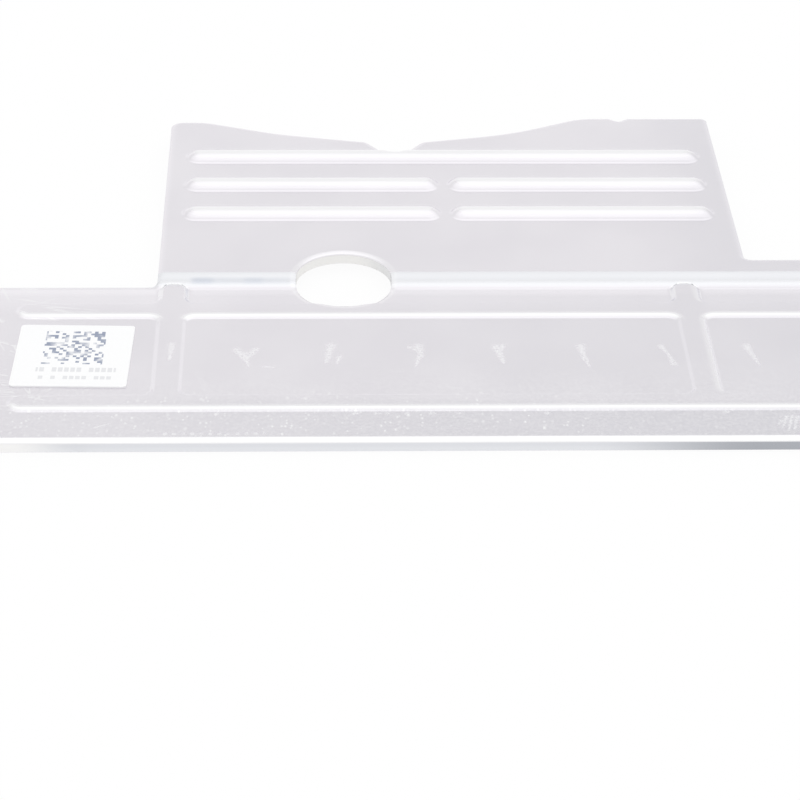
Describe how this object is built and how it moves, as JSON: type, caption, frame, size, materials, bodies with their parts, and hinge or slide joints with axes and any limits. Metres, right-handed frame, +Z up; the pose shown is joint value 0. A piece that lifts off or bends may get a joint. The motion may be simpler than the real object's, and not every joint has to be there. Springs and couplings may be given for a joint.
{
  "type": "drive bracket plate",
  "caption": "Flat pressed-steel bracket plate with a beaded front strip, a stepped-up rear tab with raised bars, a scooped far edge and a round hole across the step.",
  "frame": {"origin": "centre of the plate's outline box, level with the underside of the front strip", "axes": "+X along the front strip to the right as seen from the front, +Y from the front strip towards the rear tab, +Z up out of the face that carries the beads and the label"},
  "size_m": [0.07, 0.051, 0.0022],
  "materials": {
    "zinc_steel": "zinc-plated, smooth, with fine handling scratches",
    "label_paper": null
  },
  "bodies": {
    "root": {"plate": "zinc_steel", "label": "label_paper"}
  },
  "joints": []
}
